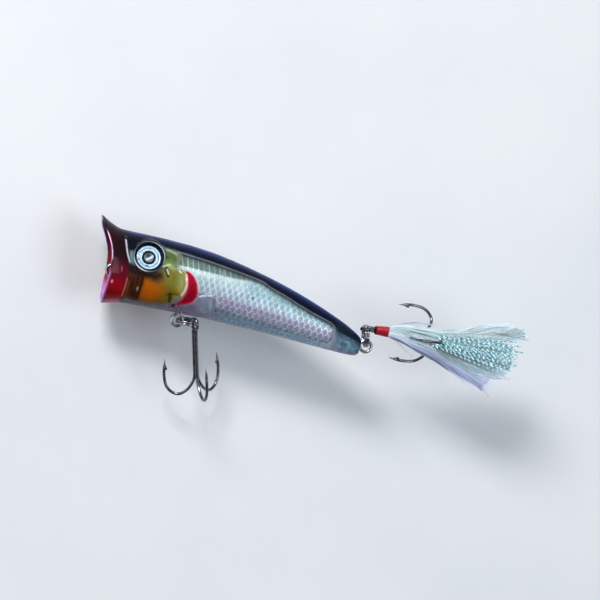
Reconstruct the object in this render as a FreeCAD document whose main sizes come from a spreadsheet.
import FreeCAD, Part
import math
import os

import Sketcher

# Topwater popper: clear two-shell body with cupped mouth, foil inserts, domed eyes,
# figure-8 wire hangers, split rings and two treble hooks, the tail one dressed.
# Frame: nose towards -X, tail towards +X, back towards +Z, left flank towards -Y.
# The origin is the centre of the line-tie eye, and y = 0 is the parting plane.

Vector = FreeCAD.Vector
ORIGIN = Vector(0, 0, 0)
X_AXIS = Vector(1, 0, 0)
Y_AXIS = Vector(0, 1, 0)
Z_AXIS = Vector(0, 0, 1)
TO_LEFT = Vector(0, -1, 0)
doc = FreeCAD.newDocument("popper")

# ---------------------------------------------------------------- driving dimensions
# alias, value, note
DIMS = [
    ("wall_thickness", 1.3, "shell wall"),
    ("hanger_wire_radius", 0.4, "stainless wire of the line tie and hangers"),
    ("hanger_loop_radius", 1.42, "centre line of the outer loops"),
    ("anchor_loop_radius", 1.42, "centre line of the inner loops"),
    ("neck_fillet_radius", 0.8, "bend between loop and neck"),
    ("neck_half_gap", 0.42, "half distance of the two neck wires"),
    ("line_tie_bore_radius", 1.04, "polished inner land of the line tie"),
    ("line_tie_length", 6.6, "line tie, loop centre to loop centre"),
    ("belly_hanger_length", 6.1, "belly hanger, loop centre to loop centre"),
    ("tail_hanger_length", 5.3, "tail hanger, loop centre to loop centre"),
    ("belly_hanger_x", 19.08, "belly loop centre"),
    ("belly_hanger_z", -7.2, "belly loop centre"),
    ("tail_hanger_x", 66.3, "tail loop centre"),
    ("tail_hanger_z", 0.4, "tail loop centre"),
    ("tail_hanger_slant", 3.8, "degrees the tail neck rises towards the nose"),
    ("anchor_pin_radius", 0.88, "moulded pins through the inner loops"),
    ("anchor_socket_radius", 0.94, "sockets for the pins"),
    ("anchor_boss_radius", 1.75, "bosses carrying pins and sockets"),
    ("pillar_boss_radius", 1.5, "alignment pillar behind the clear window"),
    ("ring_coil_radius", 0.31, "split ring wire"),
    ("ring_coil_offset", 0.29, "half distance of the two coils"),
    ("ring_centre_radius", 2.6, "split ring centre line"),
    ("ring_end_gap", 0.3, "gap at each wire end"),
    ("hook_wire_radius", 0.38, "treble hook wire"),
    ("hook_eye_radius", 1.4, "treble eye centre line"),
    ("hook_eye_wire_radius", 0.39, "treble eye wire"),
    ("hook_reach", 8.2, "hook point distance from the shank axis"),
    ("hook_depth", 18.4, "eye centre to the bottom of the bend"),
    ("hook_point_level", 10.6, "eye centre to the level of the points"),
    ("barb_height", 0.42, "barb above the wire"),
    ("eye_disc_radius", 3.15, "printed eye disc"),
    ("eye_disc_thickness", 0.35, "printed eye disc"),
    ("eye_dome_height", 0.75, "clear dome over the disc"),
    ("eye_recess_radius", 3.3, "recess in the shell"),
    ("eye_recess_depth", 1.0, "recess below the skin"),
    ("eye_bezel_radius", 3.95, "raised bezel round the eye"),
    ("eye_bezel_height", 0.3, "raised bezel round the eye"),
    ("eye_centre_x", 7.38, "eye centre"),
    ("eye_centre_z", 5.75, "eye centre"),
    ("weight_ball_radius", 2.3, "fixed tail weight"),
    ("weight_ball_x", 46.5, "fixed tail weight"),
    ("weight_ball_z", 0.5, "fixed tail weight"),
    ("rattle_ball_radius", 1.6, "loose rattle balls"),
    ("rattle_front_x", 28.72, "front ball at rest"),
    ("rattle_front_z", -1.0, "front ball"),
    ("rattle_rear_x", 35.92, "rear ball at rest"),
    ("rattle_rear_z", -0.75, "rear ball"),
    ("bulkhead_thickness", 0.8, "cross walls"),
    ("foil_thickness", 0.22, "foil insert"),
    ("foil_gap", 0.06, "foil to shell wall"),
    ("whipping_inner_radius", 0.86, "thread wrap over the three shanks"),
    ("whipping_front_radius", 1.1, "thread wrap towards the eye"),
    ("whipping_rear_radius", 1.32, "thread wrap over the feather butts"),
    ("whipping_start", 2.3, "distance from the eye centre"),
    ("whipping_end", 6.4, "distance from the eye centre"),
    ("feather_thickness", 0.32, "feather web"),
    ("flash_thickness", 0.2, "tinsel strands"),
]
sheet = doc.addObject("Spreadsheet::Sheet", "Dims")
for row, (alias, value, note) in enumerate(DIMS, 1):
    sheet.set("A%d" % row, alias)
    sheet.set("B%d" % row, str(value))
    sheet.set("C%d" % row, note)
    sheet.setAlias("B%d" % row, alias)
doc.recompute()


def dim(alias):
    return float(sheet.get(alias))


# ---------------------------------------------------------------- document helpers
EXPORT = []


def feature(label, shape):
    """Plain feature holding the largest solid of a shape."""
    obj = doc.addObject("Part::Feature", label)
    obj.Label = label
    obj.Shape = max(shape.Solids, key=lambda solid: solid.Volume)
    EXPORT.append(obj)
    return obj


def new_body(label):
    body = doc.addObject("PartDesign::Body", label)
    body.Label = label
    EXPORT.append(body)
    return body


def new_sketch(body, name, role):
    sketch = body.newObject("Sketcher::SketchObject", name)
    plane = next(item for item in body.Origin.OriginFeatures if item.Role == role)
    sketch.AttachmentSupport = [(plane, "")]
    sketch.MapMode = "FlatFace"
    return sketch


def constrain(sketch, *args):
    return sketch.addConstraint(Sketcher.Constraint(*args))


def bind(sketch, name, expression, *args):
    """Add a named constraint driven by an expression that starts with a Dims alias."""
    sketch.renameConstraint(constrain(sketch, *args), name)
    sketch.setExpression("Constraints." + name, "Dims." + expression)


def circle(x, y, radius):
    return Part.Circle(Vector(x, y, 0), Z_AXIS, radius)


def arc(x, y, radius, start, end):
    return Part.ArcOfCircle(circle(x, y, radius), start, end)


def line(x1, y1, x2, y2):
    return Part.LineSegment(Vector(x1, y1, 0), Vector(x2, y2, 0))


def add_line_loop(sketch, points, block=False):
    count = len(points)
    for i in range(count):
        sketch.addGeometry(line(*points[i], *points[(i + 1) % count]), False)
    for i in range(count):
        constrain(sketch, "Coincident", i, 2, (i + 1) % count, 1)
        if block:
            constrain(sketch, "Block", i)


def revolve(body, name, sketch):
    turn = body.newObject("PartDesign::Revolution", name)
    turn.Profile = sketch
    turn.ReferenceAxis = (sketch, ["V_Axis"])
    turn.Angle = 360.0
    doc.recompute()


def unit(vector):
    result = Vector(vector)
    result.normalize()
    return result


def square_to(vector, direction):
    """Unit vector of the part of vector that is square to a unit direction."""
    return unit(vector - direction * vector.dot(direction))


def axes_placement(origin, ex, ey, ez):
    return FreeCAD.Placement(FreeCAD.Matrix(
        ex.x, ey.x, ez.x, origin.x,
        ex.y, ey.y, ez.y, origin.y,
        ex.z, ey.z, ez.z, origin.z,
        0, 0, 0, 1))


def interpolated(points, **options):
    curve = Part.BSplineCurve()
    curve.interpolate(Points=points, **options)
    return curve.toShape()


def mirrored(shape):
    return shape.mirror(ORIGIN, Y_AXIS)


# ---------------------------------------------------------------- body outline
# x, top z, bottom z, half width
STATIONS = [
    (-8.25, 13.325, -11.5, 10.375),
    (-5.75, 12.25, -10.5, 9.625),
    (-3.25, 11.2, -9.65, 8.9),
    (-0.75, 10.625, -8.75, 8.25),
    (1.75, 10.75, -7.875, 7.75),
    (4.75, 11.025, -7.025, 7.4),
    (8.25, 11.275, -6.575, 7.2),
    (12.75, 11.525, -6.075, 7.075),
    (17.75, 11.7, -5.525, 7.0),
    (22.75, 11.6, -5.025, 6.875),
    (27.75, 11.2, -4.65, 6.625),
    (32.75, 10.6, -4.325, 6.225),
    (37.75, 9.85, -4.025, 5.75),
    (42.75, 8.95, -3.775, 5.2),
    (47.75, 7.85, -3.6, 4.6),
    (52.75, 6.525, -3.4, 4.0),
    (57.25, 5.15, -3.225, 3.45),
    (60.25, 4.125, -3.075, 3.075),
    (62.75, 3.0, -2.875, 2.75),
    (64.25, 2.15, -2.6, 2.45),
    (65.0, 1.35, -2.1, 1.9),
]
SECTION_EXPONENT = 2.12     # superellipse of the cross sections; 2 is an ellipse
SECTION_POINTS = 20
STATION_CLEARANCE = 0.75    # stations this close to a hull end are left out


def section_sizes(x, inset):
    """Middle z, half height and half width of the section at x, moved in by inset."""
    before, after = next(pair for pair in zip(STATIONS, STATIONS[1:])
                         if pair[0][0] <= x <= pair[1][0])
    share = (x - before[0]) / (after[0] - before[0])
    top, bottom, half = [a + (b - a) * share for a, b in zip(before[1:], after[1:])]
    top -= inset
    bottom += inset
    return (top + bottom) / 2.0, (top - bottom) / 2.0, half - inset


def section(x, inset):
    middle, tall, half = section_sizes(x, inset)
    power = 2.0 / SECTION_EXPONENT
    points = []
    for i in range(SECTION_POINTS):
        angle = 2.0 * math.pi * i / SECTION_POINTS
        cosine, sine = math.cos(angle), math.sin(angle)
        y = half * math.copysign(abs(cosine) ** power, cosine)
        z = middle + tall * math.copysign(abs(sine) ** power, sine)
        points.append(Vector(x, y, z))
    curve = Part.BSplineCurve()
    curve.interpolate(points, True)
    return Part.Wire([curve.toShape()])


def hull(inset, first, last):
    """The faired body between two values of x, moved in by inset."""
    inside = [station[0] for station in STATIONS
              if first + STATION_CLEARANCE < station[0] < last - STATION_CLEARANCE]
    wires = [section(x, inset) for x in [first] + inside + [last]]
    return Part.makeLoft(wires, True, False)


def skin_half_width(x, z):
    """Half width of the outer skin at a point of the side view."""
    middle, tall, half = section_sizes(x, 0.0)
    power = SECTION_EXPONENT
    return half * max(0.0, 1.0 - abs((z - middle) / tall) ** power) ** (1.0 / power)


LEFT_SPACE = Part.makeBox(160, 40, 120, Vector(-40, -40, -60))


def left_hull(inset, first, last):
    return hull(inset, first, last).common(LEFT_SPACE)


# ---------------------------------------------------------------- mouth
# x, z of the rim in the side view, upper lip to lower lip
RIM = [
    (-7.125, 13.25), (-6.375, 12.375), (-5.5, 10.5), (-4.5, 9.0),
    (-3.375, 7.25), (-2.55, 5.75), (-1.875, 4.0), (-1.55, 2.75),
    (-1.35, 1.5), (-1.175, 0.25), (-1.0, -1.5), (-0.925, -3.5),
    (-0.825, -5.5), (-0.725, -7.25), (-0.4, -8.75), (0.0, -10.25),
]
CUP_CENTRE = Vector(-3.44, 0, 1.94)
CUP_LEAN = -15.7                    # degrees about Y
CUP_SIZE = (5.6, 7.35, 9.95)        # half axes of the scoop
CUP_BACK_SIZE = (6.8, 9.2, 11.4)    # half axes of the outside of the cup wall


def face_cut():
    """Everything in front of the rim."""
    side, nose_x, reach_z = -20, -60, 30
    rim = [Vector(x, side, z) for x, z in RIM]
    corners = [rim[-1],
               Vector(rim[-1].x, side, -reach_z), Vector(nose_x, side, -reach_z),
               Vector(nose_x, side, reach_z), Vector(rim[0].x, side, reach_z),
               rim[0]]
    lines = [Part.makeLine(a, b) for a, b in zip(corners, corners[1:])]
    wire = Part.Wire([interpolated(rim)] + lines)
    return Part.Face(wire).extrude(Vector(0, 40, 0))


def cup(size):
    """Ellipsoid lying square to the line through both lips."""
    matrix = FreeCAD.Matrix()
    matrix.scale(*size)
    shape = Part.makeSphere(1.0).transformGeometry(matrix)
    shape.rotate(ORIGIN, Y_AXIS, CUP_LEAN)
    shape.translate(CUP_CENTRE)
    return shape


# ---------------------------------------------------------------- wire places and slots
wire_radius = dim("hanger_wire_radius")
tail_slant = dim("tail_hanger_slant")
tie_hole = ORIGIN
belly_hole = Vector(dim("belly_hanger_x"), 0, dim("belly_hanger_z"))
tail_hole = Vector(dim("tail_hanger_x"), 0, dim("tail_hanger_z"))
tie_anchor = Vector(dim("line_tie_length"), 0, 0)
belly_anchor = belly_hole + Vector(0, 0, dim("belly_hanger_length"))
tail_anchor = tail_hole + Vector(
    -math.cos(math.radians(tail_slant)), 0,
    math.sin(math.radians(tail_slant))) * dim("tail_hanger_length")
ANCHORS = [tie_anchor, belly_anchor, tail_anchor]
PILLAR = Vector(24.25, 0, -1.75)

SLOT_SIDE_PLAY = 0.05
SLOT_EDGE_PLAY = 0.06
slot_half = wire_radius + SLOT_SIDE_PLAY


def y_cylinder(radius, centre, y_start, y_end):
    base = Vector(centre.x, y_start, centre.z)
    return Part.makeCylinder(radius, y_end - y_start, base, Y_AXIS)


def slots():
    """Room in the shells for the three bent wires, on both sides of the parting plane."""
    loop = dim("hanger_loop_radius") + wire_radius + SLOT_EDGE_PLAY
    neck = dim("neck_half_gap") + wire_radius + SLOT_EDGE_PLAY
    thick = 2 * slot_half
    parts = [y_cylinder(loop, centre, -slot_half, slot_half)
             for centre in ANCHORS + [tail_hole, belly_hole]]
    # straight necks: line tie, belly, tail
    parts.append(Part.makeBox(4.2, thick, 2 * neck, Vector(1.6, -slot_half, -neck)))
    parts.append(Part.makeBox(2 * neck, thick, dim("belly_hanger_length") - 1.6,
                              belly_hole + Vector(-neck, -slot_half, 0.8)))
    box = Part.makeBox(4.0, thick, 2 * neck, Vector(-4.6, -slot_half, -neck))
    box.rotate(ORIGIN, Y_AXIS, tail_slant)
    box.translate(tail_hole)
    parts.append(box)
    room = parts[0]
    for part in parts[1:]:
        room = room.fuse(part)
    return room


# ---------------------------------------------------------------- eye seat on the left flank
SLOPE_STEP = 1.5    # distance to each side over which the skin's slope is taken


def left_eye_seat():
    """Point on the skin and outward normal."""
    x, z, step = dim("eye_centre_x"), dim("eye_centre_z"), SLOPE_STEP
    slope_x = (skin_half_width(x + step, z) - skin_half_width(x - step, z)) / (2 * step)
    slope_z = (skin_half_width(x, z + step) - skin_half_width(x, z - step)) / (2 * step)
    return Vector(x, -skin_half_width(x, z), z), unit(Vector(-slope_x, -1.0, -slope_z))


eye_point, eye_normal = left_eye_seat()


def eye_cylinder(radius, low, high):
    """Cylinder on the eye axis, heights measured outwards from the skin."""
    return Part.makeCylinder(radius, high - low, eye_point + eye_normal * low, eye_normal)


# ---------------------------------------------------------------- foil
# x, z of the foil edge in the side view: along the top to the tail, back along the bottom
FOIL = [
    (13.0, 8.875), (22.75, 9.0), (29.75, 8.75), (35.25, 8.25),
    (39.25, 7.375), (42.75, 6.625), (46.75, 5.5), (50.75, 4.25),
    (54.25, 3.625), (56.75, 3.125), (57.75, 1.5), (57.75, -0.5),
    (56.75, -1.75), (49.0, -2.05), (40.25, -2.25), (32.75, -2.4),
    (28.25, -2.4), (27.25, -1.25), (27.0, 1.0), (22.25, 1.125),
    (20.25, 2.25), (17.75, 3.5), (13.0, 4.5),
]
FOIL_ROOM_OUT = 0.06    # foil room cut into the wall
FOIL_ROOM_IN = 0.12     # foil room beyond the inner face of the foil
FOIL_ROOM_EDGE = 0.25   # foil room round the edge


def foil_prism(grow):
    """The foil region moved out by grow, left of the parting plane."""
    points = []
    for i, (x, z) in enumerate(FOIL):
        before, after = FOIL[i - 1], FOIL[(i + 1) % len(FOIL)]
        run, rise = after[0] - before[0], after[1] - before[1]
        size = math.hypot(run, rise)
        points.append(Vector(x - rise / size * grow, -30, z + run / size * grow))
    return Part.Face(Part.makePolygon(points + [points[0]])).extrude(Vector(0, 29.0, 0))


def foil_layer(outer_inset, inner_inset, grow):
    """Curved sheet that follows the inside of the shell, between two insets."""
    outer = left_hull(outer_inset, 10.75, 60.0)
    inner = hull(inner_inset, 10.25, 60.5)
    return outer.cut(inner).common(foil_prism(grow))


# ---------------------------------------------------------------- shells
BULKHEADS = [26.2, 33.4, 40.6, 43.6, 48.6]      # x of the front faces
WEIGHT_PLAY = 0.03
PIN_END, SOCKET_END = 1.25, 1.4                 # y, right of the parting plane
wall = dim("wall_thickness")
foil_outer = wall + dim("foil_gap")
foil_inner = foil_outer + dim("foil_thickness")


def shell_core():
    """Left shell without pins."""
    outer = left_hull(0.0, STATIONS[0][0], STATIONS[-1][0])
    cavity = left_hull(wall, 0.0, 59.5).cut(cup(CUP_BACK_SIZE))
    shape = outer.cut(cavity).cut(cup(CUP_SIZE)).cut(face_cut())
    # what is added inside ends within the wall
    inner = left_hull(wall * 0.5, 0.0, 60.25)
    for x in BULKHEADS:
        slab = Part.makeBox(dim("bulkhead_thickness"), 20, 30, Vector(x, -20, -15))
        shape = shape.fuse(slab.common(inner))
    bosses = [(dim("anchor_boss_radius"), anchor, -slot_half) for anchor in ANCHORS]
    bosses.append((dim("pillar_boss_radius"), PILLAR, 0.0))
    for radius, centre, end in bosses:
        shape = shape.fuse(y_cylinder(radius, centre, -12.0, end).common(inner))
    eye_backing = eye_cylinder(dim("eye_bezel_radius") + 0.3, -2.2, 0.0)
    shape = shape.fuse(eye_backing.common(inner))
    shape = shape.cut(foil_layer(wall - FOIL_ROOM_OUT, foil_inner + FOIL_ROOM_IN,
                                 FOIL_ROOM_EDGE))
    shape = shape.cut(slots())
    weight_centre = Vector(dim("weight_ball_x"), 0, dim("weight_ball_z"))
    shape = shape.cut(Part.makeSphere(dim("weight_ball_radius") + WEIGHT_PLAY, weight_centre))
    shape = shape.fuse(eye_cylinder(dim("eye_bezel_radius"), -1.2, dim("eye_bezel_height")))
    shape = shape.cut(eye_cylinder(dim("eye_recess_radius"), -dim("eye_recess_depth"), 5.0))
    return shape.removeSplitter()


def body_shells():
    """Left shell with pins, right shell with their sockets."""
    left = shell_core()
    right = mirrored(left)
    pins = [(anchor, -slot_half - 0.3) for anchor in ANCHORS] + [(PILLAR, -0.6)]
    for centre, start in pins:
        left = left.fuse(y_cylinder(dim("anchor_pin_radius"), centre, start, PIN_END))
        right = right.cut(y_cylinder(dim("anchor_socket_radius"), centre, -0.5, SOCKET_END))
    feature("body_shell_left", left.removeSplitter())
    feature("body_shell_right", right.removeSplitter())


def reflectors():
    foil = foil_layer(foil_outer, foil_inner, 0.0)
    feature("reflector_left", foil)
    feature("reflector_right", mirrored(foil))


body_shells()
reflectors()

# ---------------------------------------------------------------- eye discs and domes
EYE_GAP = 0.02      # recess floor to disc, and disc to dome
DOME_EDGE = 0.25    # straight edge of the dome


def eye_placement(side):
    normal = Vector(eye_normal.x, eye_normal.y * side, eye_normal.z)
    point = Vector(eye_point.x, eye_point.y * side, eye_point.z)
    seat = point + normal * (EYE_GAP - dim("eye_recess_depth"))
    return FreeCAD.Placement(seat, FreeCAD.Rotation(Z_AXIS, normal))


def eye_disc(name, placement):
    body = new_body("eye_disc_" + name)
    radius = dim("eye_disc_radius")
    sketch = new_sketch(body, "disc_outline_" + name, "XY_Plane")
    sketch.addGeometry(circle(0, 0, radius), False)
    constrain(sketch, "Coincident", 0, 3, -1, 1)
    bind(sketch, "disc_radius", "eye_disc_radius", "Radius", 0, radius)
    pad = body.newObject("PartDesign::Pad", "disc_pad_" + name)
    pad.Profile = sketch
    pad.setExpression("Length", "Dims.eye_disc_thickness")
    doc.recompute()
    body.Placement = placement


def eye_dome(name, placement):
    body = new_body("eye_dome_" + name)
    sketch = new_sketch(body, "dome_profile_" + name, "XZ_Plane")
    radius, height = dim("eye_disc_radius"), dim("eye_dome_height")
    base = dim("eye_disc_thickness") + EYE_GAP
    rise = height - DOME_EDGE
    ball_radius = (radius * radius + rise * rise) / (2 * rise)
    half_angle = math.asin(radius / ball_radius)
    ball_z = base + height - ball_radius
    sketch.addGeometry(line(0, base, radius, base), False)
    sketch.addGeometry(line(radius, base, radius, base + DOME_EDGE), False)
    sketch.addGeometry(
        arc(0, ball_z, ball_radius, math.pi / 2 - half_angle, math.pi / 2), False)
    sketch.addGeometry(line(0, base + height, 0, base), False)
    for i in range(4):
        constrain(sketch, "Coincident", i, 2, (i + 1) % 4, 1)
    constrain(sketch, "Horizontal", 0)
    constrain(sketch, "Vertical", 1)
    constrain(sketch, "Vertical", 3)
    constrain(sketch, "PointOnObject", 0, 1, -2)
    constrain(sketch, "PointOnObject", 2, 3, -2)
    bind(sketch, "dome_radius", "eye_disc_radius", "DistanceX", 0, 1, 0, 2, radius)
    bind(sketch, "dome_height", "eye_dome_height", "DistanceY", 3, 2, 3, 1, height)
    bind(sketch, "dome_base", "eye_disc_thickness + %s" % EYE_GAP,
         "DistanceY", -1, 1, 0, 1, base)
    constrain(sketch, "DistanceY", 1, 1, 1, 2, DOME_EDGE)
    revolve(body, "dome_turn_" + name, sketch)
    body.Placement = placement


for name, side in (("left", 1.0), ("right", -1.0)):
    eye_disc(name, eye_placement(side))
    eye_dome(name, eye_placement(side))


# ---------------------------------------------------------------- figure-8 wires
def figure_eight(label, length_alias, placement):
    """Bent wire with its outer loop at the local origin and its inner loop along +X."""
    body = new_body(label)
    outer, inner = dim("hanger_loop_radius"), dim("anchor_loop_radius")
    fillet, gap, length = dim("neck_fillet_radius"), dim("neck_half_gap"), dim(length_alias)
    fillet_y = gap + fillet
    outer_run = math.sqrt((outer + fillet) ** 2 - fillet_y ** 2)
    inner_run = math.sqrt((inner + fillet) ** 2 - fillet_y ** 2)
    outer_angle = math.atan2(fillet_y, outer_run)
    inner_angle = math.atan2(fillet_y, inner_run)
    inner_x = length - inner_run
    pi = math.pi

    path = new_sketch(body, label + "_path", "XZ_Plane")
    path.addGeometry([
        arc(0, 0, outer, pi, 2 * pi - outer_angle),
        arc(outer_run, -fillet_y, fillet, pi / 2, pi - outer_angle),
        line(outer_run, -gap, inner_x, -gap),
        arc(inner_x, -fillet_y, fillet, inner_angle, pi / 2),
        arc(length, 0, inner, pi + inner_angle, 3 * pi - inner_angle),
        arc(inner_x, fillet_y, fillet, 3 * pi / 2, 2 * pi - inner_angle),
        line(inner_x, gap, outer_run, gap),
        arc(outer_run, fillet_y, fillet, pi + outer_angle, 3 * pi / 2),
        arc(0, 0, outer, outer_angle, pi),
    ], False)
    constrain(path, "Coincident", 0, 3, -1, 1)
    constrain(path, "Coincident", 8, 3, -1, 1)
    constrain(path, "Coincident", 0, 1, 8, 2)
    constrain(path, "PointOnObject", 0, 1, -1)
    # neighbours meet end to end and start to start by turns
    for i in range(8):
        vertex = 2 if i % 2 == 0 else 1
        constrain(path, "Tangent", i, vertex, i + 1, vertex)
    constrain(path, "PointOnObject", 4, 3, -1)
    constrain(path, "Horizontal", 2)
    constrain(path, "Horizontal", 6)
    bind(path, "loop_radius", "hanger_loop_radius", "Radius", 0, outer)
    bind(path, "inner_loop_radius", "anchor_loop_radius", "Radius", 4, inner)
    for letter, edge in zip("abcd", (1, 3, 5, 7)):
        bind(path, "neck_fillet_" + letter, "neck_fillet_radius", "Radius", edge, fillet)
    bind(path, "wire_length", length_alias, "DistanceX", -1, 1, 4, 3, length)
    bind(path, "lower_neck", "neck_half_gap", "DistanceY", 2, 1, -1, 1, gap)
    bind(path, "upper_neck", "neck_half_gap", "DistanceY", -1, 1, 6, 1, gap)

    profile = new_sketch(body, label + "_wire", "XY_Plane")
    profile.addGeometry(circle(-outer, 0, wire_radius), False)
    constrain(profile, "PointOnObject", 0, 3, -1)
    bind(profile, "wire_radius", "hanger_wire_radius", "Radius", 0, wire_radius)
    bind(profile, "wire_place", "hanger_loop_radius", "DistanceX", 0, 3, -1, 1, outer)
    doc.recompute()
    pipe = body.newObject("PartDesign::AdditivePipe", label + "_bend")
    pipe.Profile = profile
    pipe.Spine = path
    doc.recompute()
    body.Placement = placement
    return body


def polish_loop(body):
    """Bore the outer loop of a figure-8 wire to a flat inner land."""
    radius = dim("line_tie_bore_radius")
    land = new_sketch(body, body.Label + "_land", "XZ_Plane")
    land.addGeometry(circle(0, 0, radius), False)
    constrain(land, "Coincident", 0, 3, -1, 1)
    bind(land, "land_radius", "line_tie_bore_radius", "Radius", 0, radius)
    pocket = body.newObject("PartDesign::Pocket", body.Label + "_polish")
    pocket.Profile = land
    pocket.Midplane = True
    pocket.Length = 3.0
    doc.recompute()


def turned_about_y(place, angle):
    return FreeCAD.Placement(place, FreeCAD.Rotation(Y_AXIS, angle))


polish_loop(figure_eight("line_tie", "line_tie_length", turned_about_y(tie_hole, 0)))
figure_eight("belly_hanger", "belly_hanger_length", turned_about_y(belly_hole, -90))
figure_eight("tail_hanger", "tail_hanger_length", turned_about_y(tail_hole, 180 + tail_slant))


# ---------------------------------------------------------------- balls
def ball(label, radius_alias, place_alias):
    sphere = doc.addObject("Part::Sphere", label)
    sphere.Label = label
    sphere.setExpression("Radius", "Dims." + radius_alias)
    for axis in "xz":
        sphere.setExpression("Placement.Base." + axis, "Dims.%s_%s" % (place_alias, axis))
    EXPORT.append(sphere)


ball("tail_weight_ball", "weight_ball_radius", "weight_ball")
ball("rattle_ball_front", "rattle_ball_radius", "rattle_front")
ball("rattle_ball_rear", "rattle_ball_radius", "rattle_rear")

# ---------------------------------------------------------------- split rings
# letter, side of the ring's middle plane, angle in degrees of each wire end
RING_ENDS = [("a", 1, 100.0), ("b", -1, 128.0)]
RING_CUT_HALF = 0.6     # radial half length of the end gaps
ring_radius = dim("ring_centre_radius")


def split_ring(label, placement):
    """Two touching coils round the local Z axis, each with one gap."""
    body = new_body(label)
    coil, offset = dim("ring_coil_radius"), dim("ring_coil_offset")
    meet = math.asin(offset / coil)
    pi = math.pi
    sketch = new_sketch(body, label + "_section", "XZ_Plane")
    sketch.addGeometry(arc(ring_radius, offset, coil, -meet, pi + meet), False)
    sketch.addGeometry(arc(ring_radius, -offset, coil, pi - meet, 2 * pi + meet), False)
    constrain(sketch, "Coincident", 0, 2, 1, 1)
    constrain(sketch, "Coincident", 0, 1, 1, 2)
    for letter, edge in (("a", 0), ("b", 1)):
        bind(sketch, "coil_radius_" + letter, "ring_coil_radius", "Radius", edge, coil)
    for letter, edge in (("a", 0), ("b", 1)):
        bind(sketch, "ring_radius_" + letter, "ring_centre_radius",
             "DistanceX", -1, 1, edge, 3, ring_radius)
    bind(sketch, "coil_up", "ring_coil_offset", "DistanceY", -1, 1, 0, 3, offset)
    bind(sketch, "coil_down", "ring_coil_offset", "DistanceY", 1, 3, -1, 1, offset)
    revolve(body, label + "_turn", sketch)

    near, far = ring_radius - RING_CUT_HALF, ring_radius + RING_CUT_HALF
    half_gap = dim("ring_end_gap") / 2
    corners = [(near, -half_gap), (far, -half_gap), (far, half_gap), (near, half_gap)]
    for letter, side, angle in RING_ENDS:
        cosine, sine = math.cos(math.radians(angle)), math.sin(math.radians(angle))
        end = new_sketch(body, label + "_end_" + letter, "XY_Plane")
        add_line_loop(end, [(x * cosine - y * sine, x * sine + y * cosine)
                            for x, y in corners], block=True)
        end.AttachmentOffset = FreeCAD.Placement(Vector(0, 0, 0.02 * side),
                                                 FreeCAD.Rotation())
        pocket = body.newObject("PartDesign::Pocket", label + "_gap_" + letter)
        pocket.Profile = end
        pocket.Length = 2.0
        pocket.Reversed = side > 0
        doc.recompute()
    body.Placement = placement


# ---------------------------------------------------------------- treble hooks
# A treble has its eye centre at the local origin, its shank down local -Z
# and the single hook towards local +X.
hook_radius = dim("hook_wire_radius")
SINGLE_SHANK = Vector(0.45, 0, 0)
PAIR_BACK, PAIR_SIDE = 0.235, 0.372     # shanks of the pair, behind and beside the axis
SHANK_END = 13.0                        # distance below the eye centre
SHANK_FADE = 3.0                        # length over which a sideways shift runs out
PROFILE_REACH = 8.2                     # hook reach the bend profile is given for
BEND_PULL = 2.4                         # tangent length at both ends of the bend
POINT_RADIUS = 0.05


def hook(radial, shank, top):
    """One hook opening towards radial; shank is the offset of its shank, top its start."""
    down = Vector(0, 0, -1)
    shank_out = shank.dot(radial)
    sideways = shank - radial * shank_out
    scale = dim("hook_reach") / PROFILE_REACH
    level = dim("hook_point_level")
    # distance out from the axis, distance below the eye centre
    profile = [
        (shank_out, SHANK_END),
        (0.95 * scale + shank_out * 0.4, 15.4),
        (2.9 * scale, 17.55),
        (5.1 * scale, dim("hook_depth")),
        (7.15 * scale, 17.3),
        (8.1 * scale, 15.2),
        (8.25 * scale, 13.2),
        (8.12 * scale, level + 0.9),
        (8.02 * scale, level),
    ]

    def at(out, drop):
        if drop < SHANK_END + 0.1:
            share = 1.0
        elif out < 3:
            share = max(0.0, 1.0 - (drop - SHANK_END) / SHANK_FADE)
        else:
            share = 0.0
        return radial * out + sideways * share + down * drop

    points = [at(out, drop) for out, drop in profile]
    main, tip = points[:-1], points[-1]
    wire_end = main[-1]
    lean = unit(tip - wire_end)
    bend = interpolated(main, InitialTangent=down * BEND_PULL, FinalTangent=lean * BEND_PULL)
    start = at(shank_out, top)
    path = Part.Wire([Part.makeLine(start, main[0]), bend])
    disc = Part.Wire([Part.makeCircle(hook_radius, start, down)])
    solid = path.makePipeShell([disc], True, True)
    point_length = (tip - wire_end).Length + 1.3
    solid = solid.fuse(Part.makeCone(hook_radius, POINT_RADIUS, point_length,
                                     wire_end - lean * 0.02, lean))
    # barb on the inner side of the point
    inward = radial * -1.0
    foot = wire_end - lean * 0.75
    corners = [
        foot + inward * (hook_radius * 0.55),
        wire_end + lean * 0.9 + inward * (hook_radius * 0.35),
        foot + lean * 0.15 + inward * (hook_radius + dim("barb_height")),
    ]
    half_width = unit(lean.cross(inward)) * (hook_radius * 0.55)
    outline = [corner - half_width for corner in corners + corners[:1]]
    barb = Part.Face(Part.makePolygon(outline)).extrude(half_width * 2)
    return solid.fuse(barb)


def treble(prefix, placement, eye_twist):
    double = Part.makeTorus(dim("hook_eye_radius"), dim("hook_eye_wire_radius"),
                            ORIGIN, Y_AXIS)
    double.rotate(ORIGIN, Z_AXIS, eye_twist)
    for side in (1, -1):
        angle = math.radians(120)
        radial = Vector(math.cos(angle), side * math.sin(angle), 0)
        double = double.fuse(hook(radial, Vector(-PAIR_BACK, PAIR_SIDE * side, 0), 1.5))
    # brazing metal that closes the pair below the eye
    double = double.fuse(Part.makeCylinder(0.3, 10.6, Vector(-PAIR_BACK, 0, -12.6), Z_AXIS))
    single = hook(X_AXIS, SINGLE_SHANK, 2.9)
    if double.common(single).Volume > 1e-6:
        double = double.cut(single)
    feature(prefix + "_treble_double", double).Placement = placement
    feature(prefix + "_treble_single", single).Placement = placement


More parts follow.
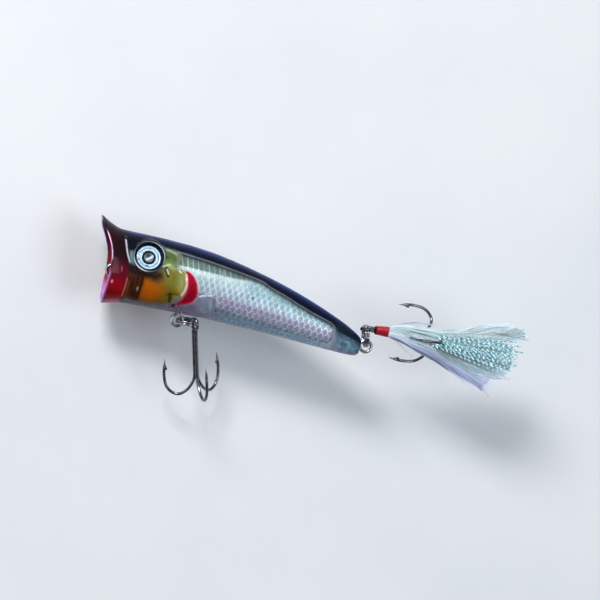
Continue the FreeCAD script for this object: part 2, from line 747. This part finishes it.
def treble_placement(eye_centre, shank, front_angle, quarter):
    """The single hook points front_angle degrees from the left flank towards quarter."""
    left = square_to(TO_LEFT, shank)
    aside = square_to(square_to(quarter, shank), left)
    angle = math.radians(front_angle)
    front = left * math.cos(angle) + aside * math.sin(angle)
    up = shank * -1.0
    return axes_placement(eye_centre, front, up.cross(front), up)


# ---------------------------------------------------------------- rings with their trebles
TREBLE_ANGLE = math.radians(52.0)   # place of the treble on the ring, from radial to flank
TREBLE_HANG = 0.28                  # treble eye centre beyond the ring centre line


def ring_with_treble(prefix, hole, radial, tilt, shank, front_angle, quarter, eye_twist):
    """Ring centred along radial from the hanger hole, tilted about it; gives hook frame."""
    radial = unit(radial)
    flank = square_to(TO_LEFT, radial)
    angle = math.radians(tilt)
    flank = flank * math.cos(angle) + radial.cross(flank) * math.sin(angle)
    centre = hole + radial * ring_radius
    split_ring(prefix + "_split_ring",
               axes_placement(centre, radial, flank, radial.cross(flank)))
    outward = radial * math.cos(TREBLE_ANGLE) + flank * math.sin(TREBLE_ANGLE)
    eye_centre = centre + outward * (ring_radius + TREBLE_HANG)
    frame = treble_placement(eye_centre, unit(shank), front_angle, quarter)
    treble(prefix, frame, eye_twist)
    return frame


ring_with_treble(
    "belly", belly_hole,
    radial=Vector(math.cos(math.radians(10.0)), 0, math.sin(math.radians(10.0))), tilt=12.0,
    shank=Vector(0.332, 0.292, -0.897), front_angle=13.0, quarter=X_AXIS, eye_twist=10.0)
TAIL_SHANK = Vector(0.928, 0.342, 0.147)
tail_frame = ring_with_treble(
    "tail", tail_hole,
    radial=Vector(-0.292, 0, 0.956), tilt=4.0,
    shank=TAIL_SHANK, front_angle=-7.0, quarter=Z_AXIS, eye_twist=25.0)

# ---------------------------------------------------------------- thread wrap
WRAP_SHOULDER = 0.6     # length of the taper at the rear end
WRAP_TAPER = 0.1        # its drop in radius


def thread_whipping(placement):
    body = new_body("thread_whipping")
    sketch = new_sketch(body, "whipping_profile", "XZ_Plane")
    inner = dim("whipping_inner_radius")
    front, rear = dim("whipping_front_radius"), dim("whipping_rear_radius")
    start, end = dim("whipping_start"), dim("whipping_end")
    shoulder, edge = end - WRAP_SHOULDER, rear - WRAP_TAPER
    add_line_loop(sketch, [(inner, -start), (front, -start), (rear, -shoulder),
                           (edge, -end), (inner, -end)])
    constrain(sketch, "Horizontal", 0)
    constrain(sketch, "Horizontal", 3)
    constrain(sketch, "Vertical", 4)
    # name, expression, direction, line and vertex measured from the origin, value
    for name, expression, kind, edge_index, vertex, size in [
        ("inner_radius", "whipping_inner_radius", "DistanceX", 0, 1, inner),
        ("front_radius", "whipping_front_radius", "DistanceX", 0, 2, front),
        ("rear_radius", "whipping_rear_radius", "DistanceX", 2, 1, rear),
        ("wrap_start", "whipping_start", "DistanceY", 0, 1, start),
        ("wrap_end", "whipping_end", "DistanceY", 3, 1, end),
        ("wrap_shoulder", "whipping_end - %s" % WRAP_SHOULDER, "DistanceY", 2, 1, shoulder),
        ("wrap_edge", "whipping_rear_radius - %s" % WRAP_TAPER, "DistanceX", 3, 1, edge),
    ]:
        # radii run from the origin to the vertex, depths from the vertex up to the origin
        ends = (-1, 1, edge_index, vertex) if kind == "DistanceX" else (edge_index, vertex, -1, 1)
        bind(sketch, name, expression, kind, *ends, size)
    revolve(body, "whipping_turn", sketch)
    body.Placement = placement


thread_whipping(tail_frame)

# ---------------------------------------------------------------- feathers and flash
SHANK_RISE = 0.158      # z per x of the tail shank line the leaves start along
tail_along = unit(TAIL_SHANK)
tail_eye = tail_frame.Base
root = tail_eye + tail_along * (dim("whipping_end") + 0.06)
wrap_room = Part.makeCylinder(dim("whipping_rear_radius") + 0.2, 6.0,
                              root - tail_along * 6.0, tail_along)
# room round the straight part of the single hook's shank
single_shank = tail_eye + tail_frame.Rotation.multVec(SINGLE_SHANK)
shank_room = Part.makeCylinder(hook_radius + 0.05, 9.0,
                               single_shank + tail_along * 4.0, tail_along)


def curved_sheet(plan, thickness):
    """Upright sheet over a smooth line of the plan view."""
    near = [Vector(root.x + x, root.y + y, -40) for x, y in plan]
    far = [point + Vector(0, thickness, 0) for point in near]
    wire = Part.Wire([interpolated(near), Part.makeLine(near[-1], far[-1]),
                      interpolated(far), Part.makeLine(far[0], near[0])])
    return Part.Face(wire).extrude(Vector(0, 0, 80))


def leaf(label, thickness, plan, leading, free, trailing):
    """Curved sheet trimmed to a side-view polygon.

    plan: x, y from the root. free: x, z of the polygon's middle run.
    leading, trailing: x and height above the shank line, before and after it.
    """
    def above_shank(points):
        return [(x, root.z + (x - root.x) * SHANK_RISE + height) for x, height in points]

    outline = above_shank(leading) + free + above_shank(trailing)
    corners = [Vector(x, -40, z) for x, z in outline + outline[:1]]
    prism = Part.Face(Part.makePolygon(corners)).extrude(Vector(0, 80, 0))
    shape = curved_sheet(plan, thickness).common(prism)
    feature(label, shape.cut(wrap_room).cut(shank_room))


leaf(
    "feather_top", dim("feather_thickness"),
    plan=[(-0.4, -1.2), (6, -0.95), (14, -0.2), (24, 0.9), (36, 1.4)],
    leading=[(root.x, 0.375), (root.x, 1.15)],
    free=[(73.25, 8.0), (76.75, 8.75), (84.0, 9.75), (90.25, 11.5), (93.75, 14.0),
          (97.75, 15.75), (103.0, 16.625), (105.5, 14.5), (103.75, 12.75),
          (99.75, 11.0), (96.75, 10.0), (90.75, 8.375), (85.75, 7.625)],
    trailing=[(80.25, 0.9), (75.25, 0.9)])
leaf(
    "feather_near", dim("feather_thickness"),
    plan=[(-0.4, -0.85), (6, -0.35), (14, 0.5), (24, 1.6), (36, 2.4)],
    leading=[(root.x, -0.15), (75.25, -0.725), (80.25, -0.975), (85.25, -0.975)],
    free=[(88.5, 7.375), (94.0, 8.25), (100.25, 8.75), (105.0, 8.0), (104.25, 5.0),
          (100.75, 3.0), (97.25, 1.75), (93.75, 2.0), (89.25, 1.5), (85.25, 2.5),
          (80.25, 3.35), (74.75, 3.875)],
    trailing=[(root.x, -1.05)])
leaf(
    "feather_far", dim("feather_thickness"),
    plan=[(-0.4, 0.7), (6, 3.06), (13, 5.5), (17.5, 6.6), (24, 7.2), (36, 7.4)],
    leading=[(root.x, 0.475), (77.75, 0.9), (84.25, 0.95)],
    free=[(89.25, 10.5), (95.25, 12.75), (100.75, 13.5), (102.75, 12.0), (103.75, 9.0),
          (102.25, 6.0), (98.75, 4.5), (92.75, 4.5), (87.75, 5.5)],
    trailing=[(84.75, -0.25), (77.75, -0.225), (root.x, -0.4)])
leaf(
    "feather_lower", dim("feather_thickness"),
    plan=[(-0.4, -0.35), (6, 0.5), (14, 1.9), (24, 3.2), (36, 4.2)],
    leading=[(root.x + 0.25, -1.1), (74.75, -1.75)],
    free=[(79.25, 3.25), (85.25, 2.125), (90.75, 0.95), (95.75, 0.25), (100.0, -0.5),
          (100.25, -1.5), (98.25, -2.375), (94.75, -1.5), (89.25, 0.45),
          (84.25, 1.85), (78.25, 2.85), (73.75, 3.65)],
    trailing=[(root.x + 0.25, -1.35)])
leaf(
    "flash_bundle", dim("flash_thickness"),
    plan=[(-0.4, -1.62), (6, -1.75), (14, -1.2), (24, -0.2), (36, 0.4)],
    leading=[(root.x, 0.55), (73.75, 0.875), (81.5, 1.1)],
    free=[(85.75, 8.25), (92.75, 7.75), (103.75, 7.4), (104.75, 5.25),
          (97.25, 5.375), (92.25, 6.25), (85.75, 7.25)],
    trailing=[(81.5, 0.65), (73.75, 0.55), (root.x, 0.25)])

# ---------------------------------------------------------------- validation and export
doc.recompute()
bad = []
for obj in doc.Objects:
    if "Invalid" in obj.State or "Error" in obj.State:
        bad.append((obj.Name, list(obj.State)))
for obj in EXPORT:
    if obj.Shape.isNull() or not obj.Shape.isValid():
        bad.append((obj.Label, "shape"))
if bad:
    raise RuntimeError("not built: %s" % bad)

os.makedirs("parts", exist_ok=True)
for obj in EXPORT:
    obj.Shape.exportStep("parts/%s.step" % obj.Label)
